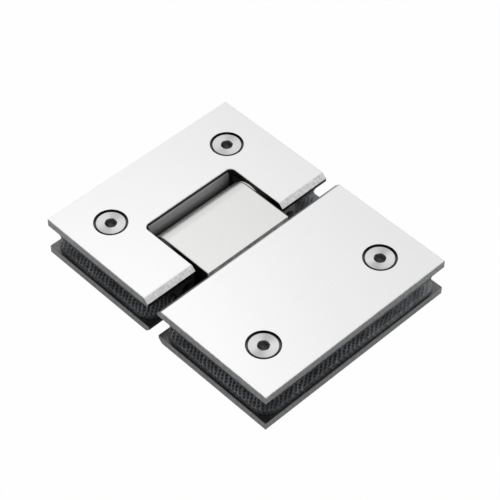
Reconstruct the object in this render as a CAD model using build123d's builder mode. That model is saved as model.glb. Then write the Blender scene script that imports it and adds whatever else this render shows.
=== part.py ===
from build123d import *
import os

# Glass door hinge for a shower enclosure: two plate clamps in line, joined by a pivot knuckle.
# X runs across the hinge, from the door clamp at minus X to the panel clamp at plus X.
# Y runs along the pivot pin. Z is the thickness, and the back plates rest on Z = 0.
# The origin is midway between the clamps. All sizes are in millimetres.

os.makedirs("parts", exist_ok=True)

# Plates and the slot for the glass
plate_height = 90.0
plate_width = 55.0
plate_thickness = 3.5
slot_width = 11.0
clamp_gap = 5.0
bevel = 2.0
edge_break = 0.2

# Pivot, knuckle and the notch it works in
pivot_setback = 16.7
pin_diameter = 10.0
knuckle_thickness = 17.0
knuckle_width = 40.8
knuckle_edge_break = 0.3
round_end_clearance = 2.6
notch_corner_radius = 2.5
wall_step = 0.8
wall_recess = 1.5
wall_play = 0.1
flange_thickness = 1.5
flange_rim = 0.8
flange_diameter = 16.0
flange_play = 0.1
bush_length = 7.0
bush_wall = 1.5
bush_end_clearance = 0.2
running_clearance = 0.05
press_clearance = 0.02
pin_relief = 0.5
pin_end_inset = 1.0
pin_chamfer = 0.6

# Cores between the plates, shaped to the cut-out in the glass
arm_width = 7.2
bridge_width = 9.9
core_setback = 0.5
ear_radius = 8.0

# Clamp screws and their threaded bosses
screw_inset = 17.3
screw_spacing = 58.6
screw_diameter = 6.0
screw_length = 14.0
head_diameter = 11.5
head_rim = 0.55
head_bevel = 0.3
head_recess = 0.3
socket_size = 4.0
socket_depth = 2.0
pocket_depth = 1.2
pocket_clearance = 0.75
screw_hole_clearance = 0.3
seat_clearance = 0.03
boss_diameter = 10.0
boss_clearance = 0.2
boss_spigot_diameter = 8.0
boss_press_depth = 2.0
boss_end_clearance = 0.3

# Countersunk screws that hold each core to its back plate
fixing_diameter = 3.0
fixing_head_diameter = 6.0
fixing_head_rim = 0.3
fixing_head_bevel = 0.1
fixing_recess = 0.1
fixing_socket_size = 2.0
fixing_socket_depth = 1.2
fixing_thread_depth = 2.2
fixing_tip_clearance = 0.2
fixing_hole_clearance = 0.2
fixing_bridge_spacing = 22.0
fixing_tongue_margin = 6.5

# Locking screws that stop the pin turning in the door clamp
lock_diameter = 5.0
lock_length = 10.0
lock_socket_size = 2.5
lock_socket_depth = 2.5
lock_flat_depth = 0.4
lock_flat_length = 4.4

# Detents that hold the door closed and at right angles
detent_spacing = 16.0
detent_bore = 8.0
detent_stroke = 0.6
detent_face_clearance = 0.05
plunger_length = 10.0
spring_length = 20.0
spring_wire_depth = 1.2
spring_wire_width = 1.4
spring_turns = 5
spring_clearance = 0.4
spigot_length = 4.0
set_screw_length = 10.0
set_screw_socket_size = 4.0
set_screw_socket_depth = 4.0

# Gaskets on the inner faces of the plates
gasket_thickness = 2.5
gasket_inset = 0.7
gasket_corner_radius = 6.5
gasket_inner_radius = 3.0
gasket_clearance = 0.4

# Heights and places that follow from the sizes above
total_thickness = 2 * plate_thickness + slot_width
inner_low = plate_thickness
inner_high = plate_thickness + slot_width
axis_z = total_thickness / 2
half_height = plate_height / 2
land_x = clamp_gap / 2
outer_x = land_x + plate_width
core_x = land_x + core_setback
screw_x = outer_x - screw_inset
screw_y = screw_spacing / 2
pin_radius = pin_diameter / 2
pivot_x = -(land_x + pivot_setback)
knuckle_radius = knuckle_thickness / 2
knuckle_side = knuckle_width / 2
notch_side = knuckle_side + flange_thickness + flange_play
notch_x = pivot_x - knuckle_radius - round_end_clearance
wall_side = notch_side - 0.75 * notch_corner_radius
core_back_x = bridge_width - notch_x
core_side = notch_side + arm_width
arm_middle = notch_side + arm_width / 2
bush_bore_radius = pin_radius + running_clearance
bush_seat_radius = bush_bore_radius + bush_wall
seat_depth = head_recess + head_rim
fixing_seat_radius = fixing_head_diameter / 2 + fixing_recess + fixing_head_rim + seat_clearance
lock_face_x = pivot_x + pin_radius - lock_flat_depth
detent_face_x = pivot_x + pin_radius + detent_face_clearance
spring_x = detent_face_x + plunger_length
set_screw_x = spring_x + spring_length
gasket_arm_width = half_height - gasket_inset - core_side - gasket_clearance
gasket_outer_radius = min(gasket_corner_radius, 0.6 * gasket_arm_width)
gasket_arm_radius = min(gasket_inner_radius, 0.3 * gasket_arm_width)

DOOR = -1
PANEL = 1
both_ends = (-1, 1)


def write(piece, name):
    """Names a finished piece and writes it to its own file."""
    piece.part.label = name
    export_step(piece.part, f"parts/{name}.step")


def section_plane(origin, axis, radial):
    """The plane of a turned profile: local x is the radius, local y runs along the axis."""
    return Plane(origin=origin, x_dir=radial, z_dir=Vector(*radial).cross(Vector(*axis)))


def screw_places(side):
    """The two clamp screws of one clamp, as (x, y)."""
    return [(side * screw_x, end * screw_y) for end in both_ends]


def turned_piece(origins, axis, radial, profile, socket=0.0, depth=0.0):
    """Equal turned solids with their heads at the origins, each with a hexagon socket if one is given."""
    with BuildPart() as pieces:
        for origin in origins:
            with BuildSketch(section_plane(origin, axis, radial)):
                with BuildLine():
                    Polyline(profile, close=True)
                make_face()
            revolve(axis=Axis(origin, axis))
            if socket:
                with BuildSketch(Plane(origin=origin, x_dir=radial, z_dir=axis)):
                    RegularPolygon(socket / 2, 6, major_radius=False)
                extrude(amount=-depth, mode=Mode.SUBTRACT)
    return pieces


def countersunk_profile(diameter, head, rim, rim_bevel, length):
    """Half profile of a countersunk screw as (radius, height), its head face at height 0."""
    tip = 0.15 * diameter
    return [
        (0, 0),
        (head / 2 - rim_bevel, 0),
        (head / 2, -rim_bevel),
        (head / 2, -rim),
        (diameter / 2, -rim - (head - diameter) / 2),
        (diameter / 2, tip - length),
        (diameter / 2 - tip, -length),
        (0, -length),
    ]


def grub_profile(diameter, length):
    """Half profile of a headless screw with bevelled ends, its socket end at height 0."""
    tip = 0.12 * diameter
    return [
        (0, 0),
        (diameter / 2 - tip, 0),
        (diameter / 2, -tip),
        (diameter / 2, tip - length),
        (diameter / 2 - tip, -length),
        (0, -length),
    ]


# Outlines that several pieces share
with BuildSketch() as plate_notch:
    with Locations(((notch_x + land_x) / 2, 0)):
        Rectangle(land_x - notch_x, 2 * notch_side)
    fillet(plate_notch.vertices().group_by(Axis.X)[0], notch_corner_radius)

with BuildSketch() as core_notch:
    with Locations(((notch_x + land_x) / 2, 0)):
        Rectangle(land_x - notch_x, 2 * notch_side)

with BuildSketch() as door_core:
    with Locations((-(core_x + core_back_x) / 2, 0)):
        Rectangle(core_back_x - core_x, 2 * core_side)
    with Locations(*screw_places(DOOR)):
        Circle(ear_radius)

with BuildSketch() as panel_core:
    mirror(door_core.sketch, about=Plane.YZ)

with BuildSketch() as door_gasket_outline:
    with Locations((-(land_x + outer_x) / 2, 0)):
        Rectangle(plate_width - 2 * gasket_inset, plate_height - 2 * gasket_inset)
    offset(door_core.sketch, amount=gasket_clearance, mode=Mode.SUBTRACT)
    rows = door_gasket_outline.vertices().group_by(Axis.Y)
    fillet(rows[0] + rows[-1], gasket_outer_radius)
    arm_corners = door_gasket_outline.vertices().group_by(Axis.X)[-1].sort_by(Axis.Y)[1:3]
    fillet(arm_corners, gasket_arm_radius)

with BuildSketch() as panel_gasket_outline:
    mirror(door_gasket_outline.sketch, about=Plane.YZ)


def plate_section(side, inner_z, outer_z):
    """The plate across its width, with the bevel between its outer face and its land at the gap."""
    outwards = 1 if outer_z > inner_z else -1
    return [
        (side * outer_x, inner_z),
        (side * land_x, inner_z),
        (side * land_x, outer_z - outwards * bevel),
        (side * (land_x + bevel), outer_z),
        (side * outer_x, outer_z),
    ]


def front_plate(side, notched):
    """A front plate, with the pockets of its two clamp screws."""
    with BuildPart() as plate:
        with BuildSketch(Plane.XZ):
            with BuildLine():
                Polyline(plate_section(side, inner_high, total_thickness), close=True)
            make_face()
        extrude(amount=half_height, both=True)
        if notched:
            with BuildSketch(Plane.XY):
                add(plate_notch.sketch)
            extrude(amount=total_thickness, mode=Mode.SUBTRACT)
        face = plate.faces().sort_by(Axis.Z)[-1]
        chamfer(face.outer_wire().edges(), length=edge_break)
        with Locations(*[(x, y, total_thickness) for x, y in screw_places(side)]):
            Hole(radius=head_diameter / 2 + pocket_clearance, depth=pocket_depth)
        with Locations(*[(x, y, total_thickness - seat_depth) for x, y in screw_places(side)]):
            CounterSinkHole(
                radius=screw_diameter / 2 + screw_hole_clearance,
                counter_sink_radius=head_diameter / 2,
                counter_sink_angle=90,
            )
    return plate


def back_plate(side, notched, fixings):
    """A back plate, blind from outside, with seats for the bosses and threads for the core's screws."""
    with BuildPart() as plate:
        with BuildSketch(Plane.XZ):
            with BuildLine():
                Polyline(plate_section(side, inner_low, 0), close=True)
            make_face()
        extrude(amount=half_height, both=True)
        if notched:
            with BuildSketch(Plane.XY):
                add(plate_notch.sketch)
            extrude(amount=total_thickness, mode=Mode.SUBTRACT)
        face = plate.faces().sort_by(Axis.Z)[0]
        chamfer(face.outer_wire().edges(), length=edge_break)
        with Locations(*[(x, y, inner_low) for x, y in screw_places(side)]):
            Hole(radius=boss_spigot_diameter / 2, depth=boss_press_depth)
        with Locations(*[(x, y, inner_low) for x, y in fixings]):
            Hole(
                radius=fixing_diameter / 2 + press_clearance,
                depth=fixing_thread_depth + fixing_tip_clearance,
            )
    return plate


def core_holes(side, fixings):
    """Cuts the boss holes and the countersunk fixing holes in the open core."""
    with Locations(*[(x, y, inner_high) for x, y in screw_places(side)]):
        Hole(radius=boss_diameter / 2 + boss_clearance)
    with Locations(*[(x, y, inner_high) for x, y in fixings]):
        CounterSinkHole(
            radius=fixing_diameter / 2 + fixing_hole_clearance,
            counter_sink_radius=fixing_seat_radius,
            counter_sink_angle=90,
        )


def gasket(outline, low_z):
    """A sheet gasket with round corners, cut out round the core."""
    with BuildPart() as pad:
        with BuildSketch(Plane.XY.offset(low_z)):
            add(outline.sketch)
        extrude(amount=gasket_thickness)
    return pad


def clamp_screws(side):
    """The two countersunk screws that draw one clamp together."""
    return turned_piece(
        [(x, y, total_thickness - head_recess) for x, y in screw_places(side)],
        (0, 0, 1),
        (1, 0, 0),
        countersunk_profile(
            screw_diameter,
            head_diameter - 2 * seat_clearance,
            head_rim,
            head_bevel,
            screw_length,
        ),
        socket_size,
        socket_depth,
    )


def fixing_screws(fixings):
    """The countersunk screws that hold one core to its back plate."""
    return turned_piece(
        [(x, y, inner_high - fixing_recess) for x, y in fixings],
        (0, 0, 1),
        (1, 0, 0),
        countersunk_profile(
            fixing_diameter,
            fixing_head_diameter,
            fixing_head_rim,
            fixing_head_bevel,
            slot_width - fixing_recess + fixing_thread_depth,
        ),
        fixing_socket_size,
        fixing_socket_depth,
    )


def threaded_bosses(side):
    """The bosses pressed into one back plate, which take the clamp screws."""
    body = boss_diameter / 2
    spigot = boss_spigot_diameter / 2 - press_clearance
    bore = screw_diameter / 2 + running_clearance
    top = slot_width - boss_end_clearance
    return turned_piece(
        [(x, y, inner_low) for x, y in screw_places(side)],
        (0, 0, 1),
        (1, 0, 0),
        [(bore, -boss_press_depth), (spigot, -boss_press_depth), (spigot, 0), (body, 0), (body, top), (bore, top)],
    )


# Places of the core screws: on the housing's bridge, and on the tongue beside the detents
door_fixings = [(notch_x - bridge_width / 2, end * fixing_bridge_spacing / 2) for end in both_ends]
panel_fixings = [
    (x, end * knuckle_side)
    for x in (core_x + fixing_tongue_margin, core_back_x - 2 * fixing_tongue_margin)
    for end in both_ends
]

# Plates
write(front_plate(DOOR, True), "door_front_plate")
write(back_plate(DOOR, True, door_fixings), "door_back_plate")
write(front_plate(PANEL, False), "panel_front_plate")
write(back_plate(PANEL, False, panel_fixings), "panel_back_plate")

# Gaskets
write(gasket(door_gasket_outline, inner_high - gasket_thickness), "door_front_gasket")
write(gasket(door_gasket_outline, inner_low), "door_back_gasket")
write(gasket(panel_gasket_outline, inner_high - gasket_thickness), "panel_front_gasket")
write(gasket(panel_gasket_outline, inner_low), "panel_back_gasket")

# Pivot housing, a U-shaped core that carries the pin in its two arms. Behind the knuckle its wall stands
# proud of the notch and rises between the plates' edges.
with BuildPart() as pivot_housing:
    with BuildSketch(Plane.XY.offset(inner_low)):
        add(door_core.sketch)
        add(core_notch.sketch, mode=Mode.SUBTRACT)
    extrude(amount=slot_width)
    with BuildSketch(Plane.XZ):
        with Locations((notch_x, axis_z)):
            Rectangle(2 * wall_play, slot_width)
        with Locations((notch_x + (wall_play + wall_step) / 2, axis_z)):
            Rectangle(wall_step - wall_play, total_thickness - 2 * wall_recess)
    extrude(amount=wall_side, both=True)
    with BuildSketch(Plane.XZ):
        with Locations((pivot_x, axis_z)):
            Circle(pin_radius + press_clearance)
    extrude(amount=core_side, both=True, mode=Mode.SUBTRACT)
    with BuildSketch(Plane.YZ.offset(-core_x)):
        with Locations(*[(end * arm_middle, axis_z) for end in both_ends]):
            Circle(lock_diameter / 2 + running_clearance)
    extrude(amount=-(pivot_setback - core_setback), mode=Mode.SUBTRACT)
    core_holes(DOOR, door_fixings)
write(pivot_housing, "pivot_housing")

# Knuckle block, full round about the pin, with the tongue that the panel clamp holds
with BuildPart() as knuckle_block:
    with BuildSketch(Plane.XZ):
        with Locations((pivot_x, axis_z)):
            Circle(knuckle_radius)
        with Locations(((pivot_x + land_x) / 2, axis_z)):
            Rectangle(land_x - pivot_x, knuckle_thickness)
    extrude(amount=knuckle_side, both=True)
    for flank in knuckle_block.faces().filter_by(Axis.Y):
        chamfer(flank.outer_wire().edges(), length=knuckle_edge_break)
    with BuildSketch(Plane.XY.offset(inner_low)):
        add(panel_core.sketch)
        with Locations((core_x / 2, 0)):
            Rectangle(core_x, knuckle_width - 2 * knuckle_edge_break)
    extrude(amount=slot_width)
    with BuildSketch(Plane.XZ):
        with Locations((pivot_x, axis_z)):
            Circle(pin_radius + pin_relief)
    extrude(amount=knuckle_side, both=True, mode=Mode.SUBTRACT)
    for end in both_ends:
        with BuildSketch(Plane.XZ.offset(end * knuckle_side)):
            with Locations((pivot_x, axis_z)):
                Circle(bush_seat_radius + press_clearance)
        extrude(amount=-end * (bush_length + bush_end_clearance), mode=Mode.SUBTRACT)
    with BuildSketch(Plane.YZ.offset(core_back_x)):
        with Locations(*[(end * detent_spacing / 2, axis_z) for end in both_ends]):
            Circle(detent_bore / 2)
    extrude(amount=pivot_x - core_back_x, mode=Mode.SUBTRACT)
    core_holes(PANEL, panel_fixings)
write(knuckle_block, "knuckle_block")

# Flanged bushes: the sleeve is pressed into the knuckle, the thin rim covers its round end, and the collar
# keeps it off the notch walls
with BuildPart() as pivot_bushes:
    for end in both_ends:
        mouth = (pivot_x, end * knuckle_side, axis_z)
        outwards = (0, end, 0)
        with BuildSketch(section_plane(mouth, outwards, (1, 0, 0))):
            with BuildLine():
                Polyline(
                    (bush_bore_radius, -bush_length),
                    (bush_seat_radius, -bush_length),
                    (bush_seat_radius, 0),
                    (flange_diameter / 2, 0),
                    (flange_diameter / 2, flange_rim),
                    (bush_seat_radius, flange_rim),
                    (bush_seat_radius, flange_thickness),
                    (bush_bore_radius, flange_thickness),
                    close=True,
                )
            make_face()
        revolve(axis=Axis(mouth, outwards))
write(pivot_bushes, "pivot_bushes")

# Pivot pin, squared in the middle for the detents and flatted at its ends for the locking screws
pin_half_length = core_side - pin_end_inset
square_half_length = knuckle_side - bush_length - bush_end_clearance
with BuildPart() as pivot_pin:
    with BuildSketch(Plane.XZ):
        with Locations((pivot_x, axis_z)):
            Circle(pin_radius)
    extrude(amount=pin_half_length, both=True)
    chamfer(pivot_pin.edges().filter_by(GeomType.CIRCLE), length=pin_chamfer)
    with BuildSketch(Plane.XZ):
        with Locations((pivot_x, axis_z)):
            Circle(pin_diameter)
            Rectangle(pin_diameter - 2 * detent_stroke, pin_diameter - 2 * detent_stroke, mode=Mode.SUBTRACT)
    extrude(amount=square_half_length, both=True, mode=Mode.SUBTRACT)
    for end in both_ends:
        with Locations((lock_face_x, end * arm_middle, axis_z)):
            Box(
                pin_diameter,
                lock_flat_length,
                pin_diameter,
                align=(Align.MIN, Align.CENTER, Align.CENTER),
                mode=Mode.SUBTRACT,
            )
write(pivot_pin, "pivot_pin")

# Locking screws in the ends of the housing's arms
write(
    turned_piece(
        [(lock_face_x + lock_length, end * arm_middle, axis_z) for end in both_ends],
        (1, 0, 0),
        (0, 1, 0),
        grub_profile(lock_diameter, lock_length),
        lock_socket_size,
        lock_socket_depth,
    ),
    "pin_locking_screws",
)

# Detent plungers, shown pushed back as far as the pin's corners push them
plunger_radius = detent_bore / 2 - running_clearance
spigot_radius = plunger_radius - spring_clearance - spring_wire_depth
write(
    turned_piece(
        [(detent_face_x, end * detent_spacing / 2, axis_z) for end in both_ends],
        (1, 0, 0),
        (0, 1, 0),
        [
            (0, 0),
            (plunger_radius, 0),
            (plunger_radius, plunger_length),
            (spigot_radius, plunger_length),
            (spigot_radius, plunger_length + spigot_length),
            (0, plunger_length + spigot_length),
        ],
    ),
    "detent_plungers",
)

# Detent springs, coils of flat wire between the plungers and the set screws
coil_radius = detent_bore / 2 - spring_clearance / 2 - spring_wire_depth / 2
coil_length = spring_length - spring_wire_width - 2 * seat_clearance
with BuildPart() as detent_springs:
    for end in both_ends:
        start = (spring_x + seat_clearance + spring_wire_width / 2, end * detent_spacing / 2, axis_z)
        with BuildLine() as coil:
            Helix(
                pitch=coil_length / spring_turns,
                height=coil_length,
                radius=coil_radius,
                center=start,
                direction=(1, 0, 0),
            )
        with BuildSketch(Plane(origin=coil.line @ 0, x_dir=(0, 0, 1), z_dir=coil.line % 0)) as wire:
            Rectangle(spring_wire_depth, spring_wire_width)
        sweep(path=coil.line, is_frenet=True)
write(detent_springs, "detent_springs")

# Set screws that load the springs
write(
    turned_piece(
        [(set_screw_x + set_screw_length, end * detent_spacing / 2, axis_z) for end in both_ends],
        (1, 0, 0),
        (0, 1, 0),
        grub_profile(2 * plunger_radius, set_screw_length),
        set_screw_socket_size,
        set_screw_socket_depth,
    ),
    "detent_set_screws",
)

# Bosses and screws of the clamps, and the screws of the cores
write(threaded_bosses(DOOR), "door_threaded_bosses")
write(threaded_bosses(PANEL), "panel_threaded_bosses")
write(clamp_screws(DOOR), "door_clamp_screws")
write(clamp_screws(PANEL), "panel_clamp_screws")
write(fixing_screws(door_fixings), "housing_fixing_screws")
write(fixing_screws(panel_fixings), "knuckle_fixing_screws")
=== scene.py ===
"""Glass door hinge for a shower: its finishes, its gaskets, its threaded screws and a small studio.

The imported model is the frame, in metres: X runs across the hinge, from the door clamp to the panel clamp,
Y runs along the pivot pin and Z is the thickness.
"""

import math

import bpy
import numpy as np
from bpy.props import FloatProperty, FloatVectorProperty, IntProperty, PointerProperty
from bpy.types import Operator, Panel, PropertyGroup
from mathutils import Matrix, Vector


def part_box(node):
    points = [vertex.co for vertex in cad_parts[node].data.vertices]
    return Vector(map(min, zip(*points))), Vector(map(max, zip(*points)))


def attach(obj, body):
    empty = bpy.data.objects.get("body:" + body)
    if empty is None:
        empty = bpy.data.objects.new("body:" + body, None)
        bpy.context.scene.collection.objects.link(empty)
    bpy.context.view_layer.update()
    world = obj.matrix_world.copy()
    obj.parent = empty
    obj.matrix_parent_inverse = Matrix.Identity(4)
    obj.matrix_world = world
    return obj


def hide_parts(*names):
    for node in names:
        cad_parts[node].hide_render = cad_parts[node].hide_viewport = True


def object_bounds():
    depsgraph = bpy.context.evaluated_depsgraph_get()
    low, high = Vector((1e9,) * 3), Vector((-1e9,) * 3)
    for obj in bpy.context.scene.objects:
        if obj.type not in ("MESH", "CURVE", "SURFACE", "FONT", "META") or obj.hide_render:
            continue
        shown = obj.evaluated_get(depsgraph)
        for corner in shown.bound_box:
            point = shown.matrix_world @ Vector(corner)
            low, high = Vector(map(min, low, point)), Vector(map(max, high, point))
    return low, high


bl_info = {
    "name": "Glass Door Hinge",
    "version": (1, 0, 0),
    "blender": (4, 5, 0),
    "location": "3D View > Sidebar > Hinge",
    "description": "Dresses a glass-to-glass shower door hinge and sets up its studio",
    "category": "Object",
}

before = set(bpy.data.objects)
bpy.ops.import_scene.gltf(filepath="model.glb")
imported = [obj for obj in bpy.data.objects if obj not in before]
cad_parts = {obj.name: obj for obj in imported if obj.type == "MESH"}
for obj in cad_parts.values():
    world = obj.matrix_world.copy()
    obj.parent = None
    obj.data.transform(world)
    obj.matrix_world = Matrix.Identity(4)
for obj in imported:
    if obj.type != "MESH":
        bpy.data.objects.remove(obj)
cad_low, cad_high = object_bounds()

MM = 0.001
SHARP_ANGLE = math.radians(32)
SOCKET_RINGS = 4
MOUTH = 1.03 / math.sqrt(3)  # A socket's mouth: a circle a little wider than the hexagon's corners
CORNER_STEPS, LOBE_STEPS = 8, 40
SLACK, WALL_SLACK = 0.06 * MM, 0.15 * MM  # How far a mask reaches past the faces that bound it
FINE_RELIEF = 0.02 * MM  # Height of brushed, ground, turned and moulded marks
CLIP_START = 10 * MM
SHORT_RAY = 10  # The floor is clear to rays shorter than this many of its gaps
WHITE = (1.0, 1.0, 1.0)

# The studio's bands fade between two cosines from their middles, or between two heights on the unit sphere.
CEILING_EDGE = (0.88, 0.98)
CAMERA_EDGE = (-0.9, 0.2)
CURTAIN_EDGE = (0.1, 0.22)
CURTAIN_TOP = (0.5, 0.62)
HORIZON_EDGE = (0.0, 0.25)


def linear(hex_colour):
    """An sRGB hex colour as linear red, green and blue."""
    values = [int(hex_colour[i : i + 2], 16) / 255 for i in (1, 3, 5)]
    return tuple(v / 12.92 if v <= 0.04045 else ((v + 0.055) / 1.055) ** 2.4 for v in values)


def length(name, description, size):
    """A length property, given in millimetres and kept in metres."""
    return FloatProperty(name=name, description=description, default=size * MM, unit="LENGTH", precision=5)


def angle(name, description, degrees):
    """An angle property, given in degrees and kept in radians."""
    return FloatProperty(name=name, description=description, default=math.radians(degrees), unit="ROTATION")


def power(name, description, watts):
    """A light's power, in watts."""
    return FloatProperty(name=name, description=description, default=watts, unit="POWER")


def colour(name, description, hex_colour):
    """A colour property, given as an sRGB hex value."""
    return FloatVectorProperty(
        name=name, description=description, default=linear(hex_colour), subtype="COLOR", size=3, min=0, max=1
    )


def share(name, description, default):
    """A property from 0 to 1."""
    return FloatProperty(name=name, description=description, default=default, min=0, max=1, subtype="FACTOR")


class StudioSettings(PropertyGroup):
    """The camera, the floor and the lights."""

    azimuth: angle("Azimuth", "Direction of the camera, from minus Y towards plus X", 46.098)
    elevation: angle("Elevation", "Height of the camera above the horizon", 47.983)
    distance: length("Distance", "From the camera to the point that it looks at", 707.0)
    look_x: length("Look at X", "Place across the hinge of the point that the camera looks at", 5.07)
    look_y: length("Look at Y", "Place along the pin of the point that the camera looks at", -2.0)
    lens: FloatProperty(name="Lens", description="Focal length in millimetres", default=140.6, unit="CAMERA")
    floor_size: length("Floor size", "Side of the square floor", 3000.0)
    floor_gap: length("Floor gap", "From the floor up to the hinge, so that they don't coincide", 0.02)
    floor_colour: colour("Floor colour", "Matt card that the hinge lies on", "#C4C4C4")
    floor_white: share("Floor white", "Share of pure white in the floor as the camera sees it", 0.985)
    sky_light: share("Sky light", "Level of the even light on matt surfaces", 0.64)
    horizon: share("Horizon", "Level of the backdrop at the horizon", 0.44)
    backdrop: share("Backdrop", "Level of the backdrop above the horizon", 0.968)
    ceiling: share("Ceiling", "Share of the backdrop's level that the dim ceiling has", 0.2)
    curtain: share("Curtain", "The same for the narrow curtain low behind the hinge", 0.1)
    studio_turn: angle(
        "Studio turn", "Turn of the curtain to the camera's right; the ceiling leans left twice as far", 10.0
    )
    camera_side: share("Camera side", "Share of the backdrop's level behind the camera", 0.6)
    key_elevation: angle("Key elevation", "Height of the softbox behind the hinge above the horizon", 57.0)
    key_turn: angle("Key turn", "Turn of that softbox from straight behind towards the camera's left", 15.0)
    key_power: power("Key power", "Power of the softbox behind", 0.2)
    key_size: length("Key size", "Side of the softbox behind", 300.0)
    key_distance: length("Key distance", "From the hinge to the softbox behind", 900.0)
    fill_power: power("Fill power", "Power of the fill light", 0.1)
    fill_side: share("Fill side", "How far aside the fill light stands, against how far forward", 0.8)


class SteelSettings(PropertyGroup):
    """The satin stainless steel of the plates and the knuckle, the other metals and the bushes."""

    face_colour: colour("Face colour", "Satin faces of the plates", "#F0F0F0")
    knuckle_colour: colour("Knuckle colour", "Satin face of the knuckle block", "#E3E3E1")
    # Partly painted shade: the milled edges' own duller finish, darkened further as the shade on the plates'
    # sides.
    edge_colour: colour("Edge colour", "Milled edges of the plates", "#CACBCB")
    # Painted shade: the plates' faces towards the glass are painted this dark grey, as the shade between the
    # plates.
    inner_shade_colour: colour("Inner colour", "Rolled faces of the plates towards the glass", "#6C6C6C")
    screw_colour: colour("Screw colour", "Turned screw heads", "#F2F2F2")
    # Painted shade: the sockets and the heads' bevels and sides are painted this dark grey, as the shade in
    # socket and pocket.
    socket_shade_colour: colour("Socket colour", "Dark scale in the screws' sockets", "#6A6A6A")
    # Painted shade: the notch's sides, the lands at the gap, the screw pockets and the knuckle's ends are
    # painted this dark grey.
    hollow_shade_colour: colour("Bore colour", "Cut sides inside the hinge, which keep their scale", "#585858")
    pin_colour: colour("Pin colour", "Ground pin, plungers and springs", "#C8C8C6")
    housing_colour: colour("Housing colour", "Phosphated casting of the pivot housing", "#323234")
    # The wall is light grey at its top; painted shade darkens it towards the pin and its upper end.
    wall_colour: colour("Wall colour", "Bare cast wall of the housing behind the knuckle", "#B0B0B0")
    # Painted light: the upper arm is painted greyer than the lower one, as the light in the far gap.
    lightened: share("Worn", "How far the housing's upper arm has worn to the bare colour", 0.9)
    oxide_colour: colour("Oxide colour", "Black oxide of the screws without heads", "#1C1C1E")
    bush_colour: colour("Bush colour", "White acetal of the pivot bushes", "#F6F6F2")
    # Painted shade: the lower bush's rim is painted this dark grey, as its shade.
    bush_shade_colour: colour("Grease colour", "Dark grease on the lower bush's rim", "#2E2E2E")
    notch_back: length("Notch back", "From the middle of the hinge to the back of the notch", 30.3)
    notch_side: length("Notch side", "Half of the notch's height", 22.0)
    wall_step: length("Wall step", "How far the housing's wall stands into the notch", 0.8)
    wall_side: length("Wall side", "Half of the height of the housing's wall", 20.2)
    gap_side: length("Gap side", "From the middle of the hinge to a clamp's plates", 2.5)
    knuckle_side: length("Knuckle side", "Half of the length of the knuckle's round end", 20.4)
    # Painted shade: a dark line on the knuckle's faces at their ends, beside the bushes.
    end_line: length("End line", "Width of the dark line at the ends of the knuckle's faces", 0.35)
    end_shift: length("End shift", "How much of that line lies at the upper end rather than the lower", 0.25)
    # Painted shade: how far the dark paint reaches along the lower bush's rim.
    bush_shade_width: length("Grease line", "Width of the dark grease on the lower bush's rim", 0.9)
    pocket_radius: length("Pocket radius", "Radius of the clamp screws' pockets", 6.5)
    cast_grit: length("Cast grit", "Grain of the phosphated casting", 0.4)
    mould_grain: length("Mould grain", "Size of the faint waves on the moulded bushes", 0.3)
    turning_marks: FloatProperty(name="Turning marks", description="Marks in 1 mm of a face", default=60.0)
    mottle: length("Mottle", "Size of the dull patches on milled edges", 1.2)
    grain_width: length("Grain width", "Width of the brush marks on the faces", 0.25)
    grain_length: length("Grain length", "Length of the brush marks on the faces", 12.0)
    roughness: share("Roughness", "Roughness of the satin faces", 0.34)


class GasketSettings(PropertyGroup):
    """The translucent PVC gaskets between the plates."""

    rib_colour: colour("Rib colour", "Milky ribs of the translucent PVC", "#C8CDD4")
    # Painted shade: the clear sheet between the ribs is painted this dark grey, as the shade of the slot
    # seen through it.
    sheet_shade_colour: colour("Sheet colour", "Clear PVC between the ribs, over the dark clamp", "#42444A")
    core_side: length("Core side", "Half of the core's height", 29.2)
    core_gap: length("Core gap", "Clearance between the core and the gasket", 0.4)
    core_back: length("Core back", "From the middle of the hinge to the back wall of the core", 40.2)
    lobe_radius: length("Lobe radius", "Radius of the core's lobes at the clamp screws", 8.0)
    corner_radius: length("Corner radius", "Radius of the gasket's outer corners", 6.5)
    arm_radius: length("Arm radius", "Radius of the corners beside the core", 3.0)
    edge_radius: length("Edge radius", "Rounding of the sheet's edges", 0.35)
    emboss_pitch: length("Emboss pitch", "Spacing of the embossed ribs", 1.3)
    # Painted light: the sheets are painted lighter towards their upper end, as the light in the far gap.
    far_light_colour: colour("Cloud colour", "Cloudy upper end of the sheets", "#B4B8BE")
    far_light: share("Cloudiness", "How cloudy the sheet is at its upper end", 0.95)
    # Painted shade: the smooth sides of the sheets are painted darker than the embossed faces.
    side_shade: share("Side tone", "How light the smooth sides are, against the embossed faces", 0.35)
    emboss_depth: length("Emboss depth", "Depth of the embossed ribs", 0.15)


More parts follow.
